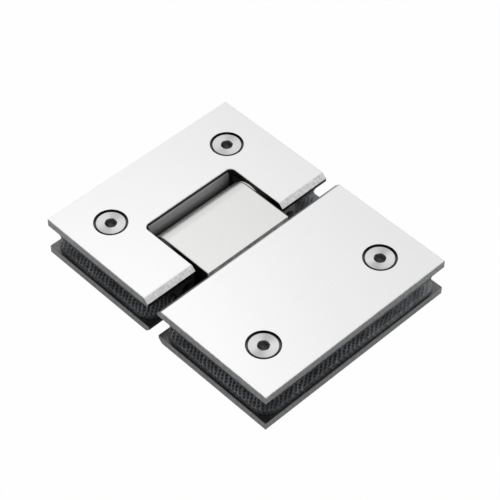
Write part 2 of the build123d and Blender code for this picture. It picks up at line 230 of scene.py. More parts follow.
class ScrewSettings(PropertyGroup):
    """The screws' threads and sockets."""

    clamp_shank: length("Clamp screw shank", "Radius of the clamp screws' shanks", 3.0)
    clamp_rim: length("Clamp screw rim", "Height of the straight rim of the clamp screws' heads", 0.55)
    clamp_pitch: length("Clamp screw pitch", "Thread pitch of the clamp screws", 1.0)
    clamp_socket: length("Clamp screw socket", "Width across flats of the clamp screws' sockets", 4.0)
    clamp_depth: length("Clamp socket depth", "Depth of the clamp screws' sockets", 2.0)
    fixing_shank: length("Fixing screw shank", "Radius of the shanks of the screws inside the cores", 1.5)
    fixing_rim: length("Fixing screw rim", "Height of the straight rim of their heads", 0.3)
    fixing_pitch: length("Fixing screw pitch", "Thread pitch of the screws inside the cores", 0.5)
    fixing_socket: length("Fixing screw socket", "Width across flats of their sockets", 2.0)
    fixing_depth: length("Fixing socket depth", "Depth of their sockets", 1.2)
    lock_pitch: length("Locking screw pitch", "Thread pitch of the pin's locking screws", 0.8)
    lock_socket: length("Locking screw socket", "Width across flats of their sockets, and their depth", 2.5)
    set_pitch: length("Set screw pitch", "Thread pitch of the detents' set screws", 1.0)
    set_socket: length("Set screw socket", "Width across flats of their sockets, and their depth", 4.0)
    head_bevel: share("Head bevel", "Bevel at the rim of a screw's head, as a share of its radius", 0.05)
    shank_tip: share("Shank tip", "Bevel at the tip of a screw with a head, as a share of its radius", 0.3)
    grub_tip: share("Grub tip", "Bevels of a screw without a head, as a share of its radius", 0.24)
    columns: IntProperty(
        name="Columns", description="Faces round a clamp screw; others have a half or two thirds", default=96
    )
    rows_per_turn: IntProperty(name="Rows per turn", description="Rows of faces to one turn", default=12)


SETTINGS = {
    "hinge_studio": StudioSettings,
    "hinge_steel": SteelSettings,
    "hinge_gaskets": GasketSettings,
    "hinge_screws": ScrewSettings,
}


def add_node(tree, kind, inputs=(), output=None, **attributes):
    """Adds a shader node and gives its output of that name, or else the first one in use.

    inputs has a value or another node's output for each input: a list in order, or by name or place. A
    colour gets full alpha. attributes are the node's own settings.
    """
    made = tree.nodes.new(f"ShaderNode{kind}")
    for name, value in attributes.items():
        setattr(made, name, value)
    for name, value in inputs.items() if isinstance(inputs, dict) else enumerate(inputs):
        socket = made.inputs[name]
        if isinstance(value, bpy.types.NodeSocket):
            tree.links.new(value, socket)
        else:
            socket.default_value = (*value, 1.0) if socket.type == "RGBA" else value
    return made.outputs[output] if output else next((way for way in made.outputs if way.enabled), None)


def new_material(name):
    """An empty node material and its tree."""
    made = bpy.data.materials.new(name)
    made.use_nodes = True
    made.node_tree.nodes.clear()
    return made, made.node_tree


def dress(nodes, finish):
    """Gives CAD nodes their material."""
    for name in nodes:
        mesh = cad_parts[name].data
        mesh.materials.clear()
        mesh.materials.append(finish)


def row_radius(node):
    """Radius of a node's round pieces, where they stand in one row along the pin."""
    low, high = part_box(node)
    return (high.x - low.x) / 2


def brush_marks(tree, place, settings, turned):
    """Noise drawn out along Y, or along X where turned.

    Real brush marks are finer: these are as wide and long as they need to be to show.
    """
    across, along = 1 / settings.grain_width, 1 / settings.grain_length
    scale = (along, across, across) if turned else (across, along, across)
    drawn = add_node(tree, "Mapping", {"Vector": place, "Scale": scale})
    return add_node(tree, "TexNoise", {"Vector": drawn, "Scale": 1.0, "Detail": 3.0, "Roughness": 0.6})


def within(tree, value, low, high):
    """1 where a value lies between two limits, and 0 outside them."""
    return add_node(tree, "Math", [value, (low + high) / 2, (high - low) / 2], operation="COMPARE")


def within_box(tree, reach, low, high):
    """1 where a place lies between a box's two corners, and 0 outside it."""
    inside = [within(tree, reach[axis], low[i], high[i]) for i, axis in enumerate("XYZ")]
    flat = add_node(tree, "Math", [inside[0], inside[1]], operation="MULTIPLY")
    return add_node(tree, "Math", [flat, inside[2]], operation="MULTIPLY")


def shaded_hollows(tree, place, reach, upright, settings):
    """1 where shade is painted on the steel: the notch's sides, the lands at the gap, the screw pockets."""
    back, edge, side = settings.notch_back + SLACK, settings.gap_side, settings.notch_side + SLACK
    notch = within_box(tree, reach, (-back, -side, cad_low.z), (SLACK - edge, side, cad_high.z))
    gap = within(tree, reach["X"], -edge - SLACK, edge + SLACK)
    low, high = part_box("panel_clamp_screws")
    screw = ((low.x + high.x) / 2, high.y - row_radius("panel_clamp_screws"), 0.0)
    quarter = add_node(tree, "VectorMath", [place], operation="ABSOLUTE")
    flat = add_node(tree, "VectorMath", [quarter, (1.0, 1.0, 0.0)], operation="MULTIPLY")
    away = add_node(tree, "VectorMath", [flat, screw], operation="DISTANCE")
    near = add_node(tree, "Math", [away, settings.pocket_radius + SLACK], operation="LESS_THAN")
    sunk = within(tree, reach["Z"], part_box("panel_front_plate")[0].z, cad_high.z - SLACK)
    pocket = add_node(tree, "Math", [near, sunk], operation="MULTIPLY")
    cut = add_node(tree, "Math", [notch, gap], operation="MAXIMUM")
    flank = add_node(tree, "Math", [cut, upright], operation="MULTIPLY")
    return add_node(tree, "Math", [flank, pocket], operation="MAXIMUM")


def satin_stainless(name, face, settings, notched):
    """Stainless steel, brushed along the pin on its faces, with milled edges that are mottled and darker:
    their own duller finish, darkened further as painted shade.

    A notched plate's faces towards the glass are painted dark, as the shade between the plates. Sides inside
    the hinge are painted dark as shade too: a notched plate's cut sides, or else the block's two ends.
    """
    made, tree = new_material(name)
    place = add_node(tree, "TexCoord", output="Object")
    reach = add_node(tree, "SeparateXYZ", [place]).node.outputs
    normal = add_node(tree, "TexCoord", output="Normal")
    parts = add_node(tree, "SeparateXYZ", [normal]).node.outputs
    lies_flat = add_node(tree, "Math", [parts["Z"]], operation="ABSOLUTE")
    faces_end = add_node(tree, "Math", [parts["Y"]], operation="ABSOLUTE")
    # Shares of the normal tell faces, bevels, ends and upright sides apart.
    turn = {"Value": lies_flat, "From Min": 0.4, "From Max": 0.95}
    is_face = add_node(tree, "MapRange", turn, interpolation_type="SMOOTHSTEP")
    is_end = add_node(tree, "Math", [faces_end, 0.7], operation="GREATER_THAN")
    marks_y, marks_x = [brush_marks(tree, place, settings, turned) for turned in (False, True)]
    marks = add_node(tree, "Mix", {0: is_end, 2: marks_y, 3: marks_x})
    grain = {"Vector": place, "Scale": 1 / settings.mottle, "Detail": 4.0, "Roughness": 0.7}
    patches = add_node(tree, "TexNoise", grain)
    spread = {"Value": patches, "From Min": 0.3, "From Max": 0.7, "To Min": 0.7, "To Max": 1.2}
    mottle = add_node(tree, "MapRange", spread)
    level = add_node(tree, "MapRange", {"Value": lies_flat, "From Min": 0.8, "From Max": 0.95})
    tone = add_node(tree, "Mix", {0: level, 2: mottle, 3: 1.0})
    # Partly painted shade: sides and bevels take the edge colour, their milled finish darkened further as
    # shade.
    polished = add_node(tree, "Mix", {0: is_face, 6: settings.edge_colour, 7: face}, data_type="RGBA")
    base = add_node(tree, "VectorMath", {0: polished, "Scale": tone}, operation="SCALE")
    if notched:
        # Painted shade: faces between the front and back plates, towards the glass, are painted dark.
        shaded_inner = add_node(tree, "VectorMath", {0: settings.inner_shade_colour, "Scale": mottle}, operation="SCALE")
        floor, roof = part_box("panel_back_plate")[1].z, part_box("panel_front_plate")[0].z
        inner = within(tree, reach["Z"], floor - SLACK, roof + SLACK)
        base = add_node(tree, "Mix", {0: inner, 6: base, 7: shaded_inner}, data_type="RGBA")
        # Painted shade: upright sides in the notch and at the gap, and the screw pockets, are painted dark.
        upright = add_node(tree, "Math", [lies_flat, 0.3], operation="LESS_THAN")
        darkened = shaded_hollows(tree, place, reach, upright, settings)
    else:
        # Painted shade: the knuckle's ends and a thin line on its faces there are painted dark.
        shifted = add_node(tree, "Math", [reach["Y"], settings.end_shift], operation="ADD")
        away = add_node(tree, "Math", [shifted], operation="ABSOLUTE")
        line = settings.knuckle_side - settings.end_line
        darkened = add_node(tree, "Math", [away, line], operation="GREATER_THAN")
    # Painted shade goes on here as the dark hollow colour.
    base = add_node(tree, "Mix", {0: darkened, 6: base, 7: settings.hollow_shade_colour}, data_type="RGBA")
    # Marks shade the metal by a few percent, as the eye sees them from arm's length.
    shade = add_node(tree, "MapRange", {"Value": marks, "To Min": 0.93, "To Max": 1.04})
    tinted = add_node(tree, "VectorMath", {0: base, "Scale": shade}, operation="SCALE")
    smooth, coarse = settings.roughness - 0.04, settings.roughness + 0.05
    rough = add_node(tree, "MapRange", {"Value": marks, "To Min": smooth, "To Max": coarse})
    bump = add_node(tree, "Bump", {"Height": marks, "Strength": 0.25, "Distance": FINE_RELIEF})
    surface = {"Metallic": 1.0, "Base Color": tinted, "Roughness": rough, "Normal": bump}
    add_node(tree, "OutputMaterial", {"Surface": add_node(tree, "BsdfPrincipled", surface)})
    return made


def plain_metal(name, rgb, roughness, grit):
    """Turned, ground or blackened metal: one colour with fine grit in its roughness."""
    made, tree = new_material(name)
    place = add_node(tree, "TexCoord", output="Object")
    noise = add_node(tree, "TexNoise", {"Vector": place, "Scale": 1 / grit, "Detail": 2.0})
    spread = {"Value": noise, "To Min": roughness - 0.06, "To Max": roughness + 0.06}
    rough = add_node(tree, "MapRange", spread)
    bump = add_node(tree, "Bump", {"Height": noise, "Strength": 0.2, "Distance": FINE_RELIEF})
    surface = {"Metallic": 1.0, "Base Color": rgb, "Roughness": rough, "Normal": bump}
    add_node(tree, "OutputMaterial", {"Surface": add_node(tree, "BsdfPrincipled", surface)})
    return made


def turned_steel(settings, face_width):
    """Stainless steel faced on a lathe: marks run round the head, so its shine opens into two fans.

    The marks are too fine to tell apart, and spread the shine as a whole. The socket and the bevel and side
    of the head are painted dark, as painted shade. The way along the profile, in mm, is negative in the
    socket, and is face_width where the face ends.
    """
    made, tree = new_material("turned_stainless")
    turning = add_node(tree, "UVMap", uv_map="turning")
    along = add_node(tree, "SeparateXYZ", [turning], "Y")
    outside, inside = [
        add_node(tree, "MapRange", {"Value": along, "From Min": start, "From Max": end})
        for start, end in ((-0.2, 0.0), (face_width + 0.05, face_width - 0.02))
    ]
    faced = add_node(tree, "Math", [outside, inside], operation="MULTIPLY")
    # Painted shade: outside the turned face, in the socket and on the head's bevel and side, the colour is
    # dark.
    colours = {0: faced, 6: settings.socket_shade_colour, 7: settings.screw_colour}
    base = add_node(tree, "Mix", colours, data_type="RGBA")
    rings = add_node(tree, "Math", [along, settings.turning_marks], operation="MULTIPLY")
    marks = add_node(tree, "TexNoise", {"W": rings, "Scale": 1.0}, noise_dimensions="1D")
    bump = add_node(tree, "Bump", {"Height": marks, "Strength": 0.15, "Distance": FINE_RELIEF})
    tangent = add_node(tree, "Tangent", direction_type="UV_MAP", uv_map="turning")
    surface = {"Metallic": 1.0, "Roughness": 0.5, "Anisotropic": 0.95, "Anisotropic Rotation": 0.25}
    surface |= {"Base Color": base, "Normal": bump, "Tangent": tangent}
    add_node(tree, "OutputMaterial", {"Surface": add_node(tree, "BsdfPrincipled", surface)})
    return made


def cast_housing(settings):
    """Phosphated casting: matt and near black, apart from the light grey wall behind the knuckle.

    The wall is light grey at its top, with painted shade that darkens it again at the pin's height and
    towards its upper end. The upper arm is painted greyer than the lower one, as painted light.
    """
    made, tree = new_material("phosphated_casting")
    place = add_node(tree, "TexCoord", output="Object")
    reach = add_node(tree, "SeparateXYZ", [place]).node.outputs
    noise = add_node(tree, "TexNoise", {"Vector": place, "Scale": 1 / settings.cast_grit, "Detail": 3.0})
    side, back = settings.wall_side, -settings.notch_back - WALL_SLACK
    front = back + settings.wall_step + 2 * WALL_SLACK
    wall = within_box(tree, reach, (back, -side, cad_low.z), (front, side, cad_high.z))
    pin_low, pin_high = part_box("pivot_pin")
    pin = (pin_low.z + pin_high.z) / 2
    # Painted shade: the wall darkens towards the pin's height and its upper end, where the knuckle shades
    # it.
    for axis, dark, light in (("Z", pin - 1 * MM, pin + 5 * MM), ("Y", 1.4 * side, side / 2)):
        fade = {"Value": reach[axis], "From Min": dark, "From Max": light}
        part = add_node(tree, "MapRange", fade, interpolation_type="SMOOTHSTEP")
        wall = add_node(tree, "Math", [wall, part], operation="MULTIPLY")
    arm = settings.notch_side
    # Painted light: the upper arm turns towards the wall's grey.
    arm_fade = {"Value": reach["Y"], "From Min": arm, "From Max": arm + 2 * MM, "To Max": settings.lightened}
    lightened = add_node(tree, "MapRange", arm_fade)
    light_grey = add_node(tree, "Math", [wall, lightened], operation="MAXIMUM")
    colours = {0: light_grey, 6: settings.housing_colour, 7: settings.wall_colour}
    base = add_node(tree, "Mix", colours, data_type="RGBA")
    shade = add_node(tree, "MapRange", {"Value": noise, "To Min": 0.8, "To Max": 1.1})
    tinted = add_node(tree, "VectorMath", {0: base, "Scale": shade}, operation="SCALE")
    bump = add_node(tree, "Bump", {"Height": noise, "Strength": 0.3, "Distance": 0.05 * MM})
    surface = {"Roughness": 0.6, "Base Color": tinted, "Normal": bump}
    add_node(tree, "OutputMaterial", {"Surface": add_node(tree, "BsdfPrincipled", surface)})
    return made


def white_acetal(settings):
    """Moulded acetal: a milky white plastic with a soft sheen, and painted shade on the lower bush's rim."""
    made, tree = new_material("moulded_white_acetal")
    place = add_node(tree, "TexCoord", output="Object")
    noise = add_node(tree, "TexNoise", {"Vector": place, "Scale": 1 / settings.mould_grain})
    bump = add_node(tree, "Bump", {"Height": noise, "Strength": 0.1, "Distance": FINE_RELIEF})
    along = add_node(tree, "SeparateXYZ", [place], "Y")
    # Painted shade: the lower bush is dark from the middle of the hinge to a little past the knuckle's end.
    rim = -settings.knuckle_side - settings.bush_shade_width
    outer = add_node(tree, "Math", [along, rim], operation="LESS_THAN")
    upper = add_node(tree, "Math", [along, 0.0], operation="GREATER_THAN")
    unshaded = add_node(tree, "Math", [outer, upper], operation="MAXIMUM")
    colours = {0: unshaded, 6: settings.bush_shade_colour, 7: settings.bush_colour}
    base = add_node(tree, "Mix", colours, data_type="RGBA")
    surface = {"Roughness": 0.35, "IOR": 1.48, "Base Color": base, "Normal": bump}
    add_node(tree, "OutputMaterial", {"Surface": add_node(tree, "BsdfPrincipled", surface)})
    return made


def embossed_pvc(settings):
    """Clear soft PVC sheet with crossed embossed ribs: milky at the ribs, and painted dark between them as
    the shade of the slot seen through it.

    The ribs are bands across two slanting directions, pressed more deeply in some patches. Real ones are
    finer: these are as coarse as they need to be to show. The sheet's cut sides are smooth and painted
    darker, as painted shade, and it is painted lighter towards its upper end, as painted light.
    """
    made, tree = new_material("embossed_clear_pvc")
    place = add_node(tree, "TexCoord", output="Object")
    pitch = settings.emboss_pitch
    wobble, patches = [
        add_node(tree, "TexNoise", {"Vector": place, "Scale": 1 / (ribs_wide * pitch), "Detail": 2.0})
        for ribs_wide in (3, 5)
    ]
    ribs = []
    for slant in ((1.0, 0.75, 0.6), (-0.75, 1.0, 0.6)):
        way = add_node(tree, "VectorMath", [place, Vector(slant).normalized()], operation="DOT_PRODUCT")
        turns = add_node(tree, "Math", [way, 2 * math.pi / pitch], operation="MULTIPLY")
        phase = add_node(tree, "Math", [wobble, 8.0, turns], operation="MULTIPLY_ADD")
        ribs.append(add_node(tree, "Math", [phase], operation="COSINE"))
    lower_rib = add_node(tree, "Math", [ribs[1], 0.6], operation="MULTIPLY")
    raised = add_node(tree, "Math", [ribs[0], lower_rib], operation="MAXIMUM")
    rib = add_node(tree, "MapRange", {"Value": raised, "From Min": 0.2, "From Max": 0.9})
    spread = {"Value": patches, "From Min": 0.35, "From Max": 0.65, "To Min": 0.25}
    pressed = add_node(tree, "MapRange", spread)
    milky = add_node(tree, "Math", [rib, pressed], operation="MULTIPLY")
    # Painted shade: between the ribs the sheet is dark, as the shaded slot behind it.
    colours = {0: milky, 6: settings.sheet_shade_colour, 7: settings.rib_colour}
    ribbed = add_node(tree, "Mix", colours, data_type="RGBA")
    normal = add_node(tree, "TexCoord", output="Normal")
    facing = add_node(tree, "SeparateXYZ", [normal], "Z")
    lies_flat = add_node(tree, "Math", [facing], operation="ABSOLUTE")
    # Painted shade: sides that stand upright are darker than the flat faces.
    smooth = {"Value": lies_flat, "From Min": 0.3, "From Max": 0.8, "To Min": settings.side_shade}
    tone = add_node(tree, "MapRange", smooth)
    toned = add_node(tree, "VectorMath", {0: ribbed, "Scale": tone}, operation="SCALE")
    # Painted light: the sheet turns lighter towards its upper end, in patches.
    end = add_node(tree, "SeparateXYZ", [place], "Y")
    rise = add_node(tree, "MapRange", {"Value": end, "From Max": cad_high.y, "To Max": settings.far_light})
    far_lit = add_node(tree, "Math", [rise, pressed], operation="MULTIPLY")
    base = add_node(tree, "Mix", {0: far_lit, 6: toned, 7: settings.far_light_colour}, data_type="RGBA")
    bump = add_node(tree, "Bump", {"Height": raised, "Strength": 0.6, "Distance": settings.emboss_depth})
    surface = {"Roughness": 0.3, "IOR": 1.53, "Transmission Weight": 0.35}
    surface |= {"Base Color": base, "Normal": bump}
    add_node(tree, "OutputMaterial", {"Surface": add_node(tree, "BsdfPrincipled", surface)})
    return made


def show(name, data, place=(0.0, 0.0, 0.0), facing=None):
    """A new object in the scene, at a place, with its -Z turned along facing where that is given."""
    made = bpy.data.objects.new(name, data)
    made.location = place
    if facing is not None:
        made.rotation_mode = "QUATERNION"
        made.rotation_quaternion = facing.to_track_quat("-Z", "Y")
    bpy.context.scene.collection.objects.link(made)
    return made


def mesh_piece(name, points, faces, turning=None):
    """A mesh object at the origin from points (n, 3) and lists of face corners, with normals outwards.

    turning has a UV pair for each corner of each face: the turn from 0 to 1, and the way along the profile,
    in mm from the mouth of the socket.
    """
    if enclosed_volume(points, faces) < 0:
        faces = [f[:, ::-1] for f in faces]
        turning = turning and [t[:, ::-1] for t in turning]
    corners = np.concatenate([f.reshape(-1) for f in faces]).astype(np.int32)
    totals = np.concatenate([np.full(len(f), f.shape[1]) for f in faces]).astype(np.int32)
    mesh = bpy.data.meshes.new(name)
    mesh.vertices.add(len(points))
    mesh.vertices.foreach_set("co", points.astype(np.float32).reshape(-1))
    mesh.loops.add(len(corners))
    mesh.loops.foreach_set("vertex_index", corners)
    mesh.polygons.add(len(totals))
    mesh.polygons.foreach_set("loop_start", np.concatenate([[0], np.cumsum(totals)[:-1]]).astype(np.int32))
    mesh.polygons.foreach_set("loop_total", totals)
    mesh.polygons.foreach_set("use_smooth", np.ones(len(totals), bool))
    mesh.update(calc_edges=True)
    if turning:
        layer = mesh.uv_layers.new(name="turning")
        layer.data.foreach_set("uv", np.concatenate([t.reshape(-1) for t in turning]).astype(np.float32))
    mesh.set_sharp_from_angle(angle=SHARP_ANGLE)
    mesh.validate()
    return show(name, mesh)


def enclosed_volume(points, faces):
    """Signed volume of a closed mesh: a sixth of the sum of each face's fan of triple products."""
    total = 0.0
    for corners in faces:
        for i in range(1, corners.shape[1] - 1):
            a, b, c = points[corners[:, 0]], points[corners[:, i]], points[corners[:, i + 1]]
            total += np.einsum("ij,ij->i", a, np.cross(b, c)).sum() / 6
    return total


def ring_faces(rows, columns, along):
    """Faces of a grid of rings, and the UV pairs of their corners.

    Each face joins two neighbours of one ring to the same two of the next. along is the way along the
    profile at each ring, in mm.
    """
    row, column = np.arange(rows - 1)[:, None], np.arange(columns)[None, :]
    next_row, next_column = row + 1, (column + 1) % columns
    ring = (row * columns + column, row * columns + next_column)
    next_ring = (next_row * columns + next_column, next_row * columns + column)
    faces = np.stack(np.broadcast_arrays(*ring, *next_ring), -1).reshape(-1, 4)
    turn = np.stack(np.broadcast_arrays(column, column + 1, column + 1, column), -1) / columns
    way = np.stack(np.broadcast_arrays(along[row], along[row], along[next_row], along[next_row]), -1)
    turn, way = np.broadcast_arrays(turn, way)
    return faces, np.stack([turn, way], -1).reshape(-1, 4, 2)


def end_faces(first, columns, centre, way, reverse):
    """Triangles that close one ring to its centre point, and the UV pairs of their corners."""
    column = np.arange(columns)
    corners = [first + column, first + (column + 1) % columns, np.full(columns, centre)]
    turn = [column / columns, (column + 1) / columns, (column + 0.5) / columns]
    ways = [np.full(columns, way)] * 3
    faces, pairs = np.stack(corners, -1), np.stack([np.stack(turn, -1), np.stack(ways, -1)], -1)
    return (faces[:, ::-1], pairs[:, ::-1]) if reverse else (faces, pairs)


def thread_depth(height, angle, pitch, top, bottom):
    """How deep a 60 degree thread is cut below its crest.

    The phase is the height in pitches less the turn, so the cut climbs one pitch for each turn. Crests are
    an eighth of a pitch wide and roots a quarter, with straight flanks between, 0.6134 of a pitch deep. The
    cut fades over one pitch at its top and its bottom.
    """
    phase = np.mod(height / pitch - angle / (2 * math.pi), 1.0)
    flank = np.clip((np.abs(2 * phase - 1) - 0.25) / 0.625, 0, 1)
    fade = np.clip((top - height) / pitch, 0, 1) * np.clip((height - bottom) / pitch, 0, 1)
    return 0.6134 * pitch * (1 - flank) * fade


def hexagon_radius(angle, flats):
    """Distance from a hexagon's centre to its side at each angle: half the flats over a sixth's cosine."""
    sixth = math.pi / 3
    return flats / 2 / np.cos(np.mod(angle, sixth) - sixth / 2)


def screw_rings(profile, pitch, thread_top, socket, columns, rows_per_turn):
    """Radii (rings, columns) and heights (rings) of a screw, from its socket over its head to its tip.

    profile gives the outer corners as (radius, height) from the face down; the thread is cut from thread_top
    to the tip; socket is (flats, depth). Each ring is a circle, less the thread's cut, apart from the
    socket's hexagon, whose mouth opens in a cone to a circle a little wider than its corners.
    """
    angle = np.linspace(0, 2 * math.pi, columns, endpoint=False)
    flats, depth = socket
    hexagon, round_ring = hexagon_radius(angle, flats), np.ones(columns)
    mouth = flats * MOUTH
    outer = np.array(profile)
    bottom = outer[-1, 1]
    turns = (thread_top - bottom) / pitch
    cut = np.linspace(thread_top, bottom, int(turns * rows_per_turn) + 1)[:-1]
    heights = np.concatenate([outer[:, 1], cut])
    radii = np.concatenate([outer[:, 0], np.interp(-cut, -outer[:, 1], outer[:, 0])])
    order = np.argsort(-heights, kind="stable")
    heights, radii = heights[order][:, None], radii[order][:, None]
    wall = radii - thread_depth(heights, angle[None, :], pitch, thread_top, bottom)
    # The socket: a floor that dips by a twelfth towards its middle, the walls, and the cone of the mouth.
    floor = [hexagon * 0.5, hexagon, np.minimum(hexagon, mouth - 0.02 * MM), round_ring * mouth]
    floor_heights = [-depth * 1.08, -depth, -(mouth - flats / 2) * 0.7, 0.0]
    return angle, np.concatenate([np.array(floor), wall]), np.concatenate([floor_heights, heights[:, 0]])


def screw_surfaces(name, places, axis, rings):
    """One mesh of equal screws: rings of that radius and height round each place, closed at both ends.

    Along Z a point is (radius cos, radius sin, height) from its place; along X the height comes first.
    """
    angle, radii, heights = rings
    rows, columns = radii.shape
    steps = np.hypot(np.diff(radii.mean(1)), np.diff(heights))
    along = np.concatenate([[0], np.cumsum(steps)]) / MM
    along -= along[SOCKET_RINGS - 1]
    across = radii[:, :, None] * np.stack([np.cos(angle), np.sin(angle)], -1)[None, :, :]
    rise = np.broadcast_to(heights[:, None, None], (rows, columns, 1))
    grid = np.concatenate([rise, across] if axis == "X" else [across, rise], -1).reshape(-1, 3)
    unit = np.array([1.0, 0, 0] if axis == "X" else [0, 0, 1.0])
    solid = np.concatenate([grid, [unit * heights[0], unit * heights[-1]]])
    parts = [
        ring_faces(rows, columns, along),
        end_faces(0, columns, rows * columns, along[0], True),
        end_faces((rows - 1) * columns, columns, rows * columns + 1, along[-1], False),
    ]
    points = np.concatenate([solid + np.array(place)[None, :] for place in places])
    faces = [f + i * len(solid) for i in range(len(places)) for f, _ in parts]
    return mesh_piece(name, points, faces, [pairs for _ in places for _, pairs in parts])


def screw_places(node, radius, axis):
    """The middle of each screw's face and the screws' length, in a node alike for plus and minus Y."""
    low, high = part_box(node)
    y = high.y - radius
    if axis == "X":
        return [(high.x, side * y, (low.z + high.z) / 2) for side in (-1, 1)], high.x - low.x
    columns = sorted({round(low.x + radius, 6), round(high.x - radius, 6)})
    return [(x, side * y, high.z) for x in columns for side in (-1, 1)], high.z - low.z


def arc(centre, radius, start, end, steps=CORNER_STEPS):
    """Points on a circle from one angle to another, in degrees."""
    turn = np.radians(np.linspace(start, end, steps + 1))
    return np.stack([centre[0] + radius * np.cos(turn), centre[1] + radius * np.sin(turn)], -1)


def gasket_loop(near, far, top, settings):
    """The gasket's outline, once round counter-clockwise, as points (n, 2) on the panel's side.

    It runs round the outer rectangle from near to far, with round corners, then back round the core: along
    its side, round the upper lobe, down its back wall, round the lower lobe and along its other side.
    """
    r, arm, core_y = settings.corner_radius, settings.arm_radius, settings.core_side + settings.core_gap
    lobe, back = settings.lobe_radius + settings.core_gap, settings.core_back + settings.core_gap
    boss, (boss_low, boss_high) = row_radius("panel_threaded_bosses"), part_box("panel_threaded_bosses")
    lobe_x, lobe_y = boss_low.x + boss, boss_high.y - boss
    side_angle = math.degrees(math.asin((core_y - lobe_y) / lobe))
    wall_angle = math.degrees(math.acos((back - lobe_x) / lobe))
    left, right, y = near + r, far - r, top - r
    return np.concatenate(
        [
            arc((left, -y), r, 180, 270),
            arc((right, -y), r, 270, 360),
            arc((right, y), r, 0, 90),
            arc((left, y), r, 90, 180),
            arc((near + arm, core_y + arm), arm, 180, 270),
            arc((lobe_x, lobe_y), lobe, 180 - side_angle, -wall_angle, LOBE_STEPS),
            arc((lobe_x, -lobe_y), lobe, wall_angle, side_angle - 180, LOBE_STEPS),
            arc((near + arm, -core_y - arm), arm, 90, 180),
        ]
    )


def sheet_surface(name, loop, low_z, high_z, edge):
    """A sheet with rounded edges: a profile carried round the loop, closed by a flat face above and below.

    The profile goes a quarter round from the upper face to the wall and another to the lower face. Each ring
    is the loop moved inwards by the profile's inset, along the mean of its two neighbouring sides' normals.
    """
    sides = np.roll(loop, -1, 0) - loop
    normals = np.stack([sides[:, 1], -sides[:, 0]], -1)
    normals /= np.linalg.norm(normals, axis=1, keepdims=True)
    mean = normals + np.roll(normals, 1, 0)
    mitre = mean / np.maximum((mean * mean).sum(1, keepdims=True) / 2, 0.5)
    quarter = np.radians(np.linspace(0, 90, 5))
    inset = np.concatenate([edge * (1 - np.sin(quarter)), edge * (1 - np.cos(quarter))])
    height = np.concatenate([high_z - edge + edge * np.cos(quarter), low_z + edge - edge * np.sin(quarter)])
    flat = loop[None, :, :] - mitre[None, :, :] * inset[:, None, None]
    rings = np.concatenate([flat, np.broadcast_to(height[:, None, None], (*flat.shape[:2], 1))], -1)
    rows, columns = rings.shape[:2]
    faces, _ = ring_faces(rows, columns, np.zeros(rows))
    upper, lower = np.arange(columns)[None, ::-1], np.arange((rows - 1) * columns, rows * columns)[None, :]
    return mesh_piece(name, rings.reshape(-1, 3), [faces, upper, lower])


def direction(azimuth, elevation):
    """The unit vector at an azimuth from minus Y towards plus X, and an elevation above the floor."""
    flat = math.cos(elevation)
    return Vector((math.sin(azimuth) * flat, -math.cos(azimuth) * flat, math.sin(elevation)))


def softbox(name, place, aim, size, watts):
    """A square area light at a place, turned to a point."""
    lamp = bpy.data.lights.new(name, "AREA")
    lamp.shape = "SQUARE"
    lamp.size = size
    lamp.energy = watts
    show(name, lamp, place, aim - place)


def floor_card(settings):
    """Matt pale card: nearly pure white to the camera, and it keeps the hinge's soft shadow.

    It is clear from below and to rays that start just above it, so a view from below shows the hinge lit.
    """
    made, tree = new_material("matt_white_card")
    rays = add_node(tree, "LightPath").node.outputs
    card = add_node(tree, "BsdfDiffuse", {"Color": settings.floor_colour})
    white = add_node(tree, "Emission", {"Color": WHITE})
    amount = add_node(tree, "Math", [rays["Is Camera Ray"], settings.floor_white], operation="MULTIPLY")
    mixed = add_node(tree, "MixShader", [amount, card, white])
    clear = add_node(tree, "BsdfTransparent")
    below = add_node(tree, "NewGeometry", output="Backfacing")
    near = SHORT_RAY * settings.floor_gap
    short = add_node(tree, "Math", [rays["Ray Length"], near], operation="LESS_THAN")
    through = add_node(tree, "Math", [below, short], operation="MAXIMUM")
    surface = add_node(tree, "MixShader", [through, mixed, clear])
    add_node(tree, "OutputMaterial", {"Surface": surface})
    return made


def studio_world(settings):
    """White to the camera, an even level on matt surfaces, and a studio in the metal.

    Metal sees a pale backdrop that greys near the horizon and towards the camera, a dim ceiling and a dark
    narrow curtain low behind the hinge: its faces show a soft gradient and turned heads open into fans.
    """
    world = bpy.data.worlds.new("studio")
    world.use_nodes = True
    tree = world.node_tree
    tree.nodes.clear()
    rays = add_node(tree, "LightPath").node.outputs
    outlook = add_node(tree, "TexCoord", output="Generated")
    rise = add_node(tree, "SeparateXYZ", [outlook], "Z")
    right, turn = math.pi / 2, settings.studio_turn
    behind, beside, overhead = [
        add_node(tree, "VectorMath", [outlook, middle], operation="DOT_PRODUCT")
        for middle in (
            direction(settings.azimuth + math.pi, 0.0),
            direction(settings.azimuth + right - turn, 0.0),
            direction(settings.azimuth - right, right - 2 * turn),
        )
    ]
    off_centre = add_node(tree, "Math", [beside], operation="ABSOLUTE")
    bands = (
        (overhead, CEILING_EDGE, 1.0, settings.ceiling),
        (rise, HORIZON_EDGE, settings.horizon, settings.backdrop),
        (behind, CAMERA_EDGE, settings.camera_side, 1.0),
        (rise, CURTAIN_TOP, settings.curtain, 1.0),
        (off_centre, CURTAIN_EDGE, settings.curtain, 1.0),
    )
    upper, bright, front, above, outside = [
        add_node(tree, "MapRange", [way, *edge, first, last]) for way, edge, first, last in bands
    ]
    curtain = add_node(tree, "Math", [above, outside], operation="MAXIMUM")
    backdrop = bright
    for band in (upper, front, curtain):
        backdrop = add_node(tree, "Math", [backdrop, band], operation="MULTIPLY")
    matt = {0: rays["Is Diffuse Ray"], 2: backdrop, 3: settings.sky_light}
    shading = add_node(tree, "Mix", matt)
    level = add_node(tree, "Mix", {0: rays["Is Camera Ray"], 2: shading, 3: 1.0})
    background = add_node(tree, "Background", {"Color": WHITE, "Strength": level})
    add_node(tree, "OutputWorld", {"Surface": background})
    bpy.context.scene.world = world


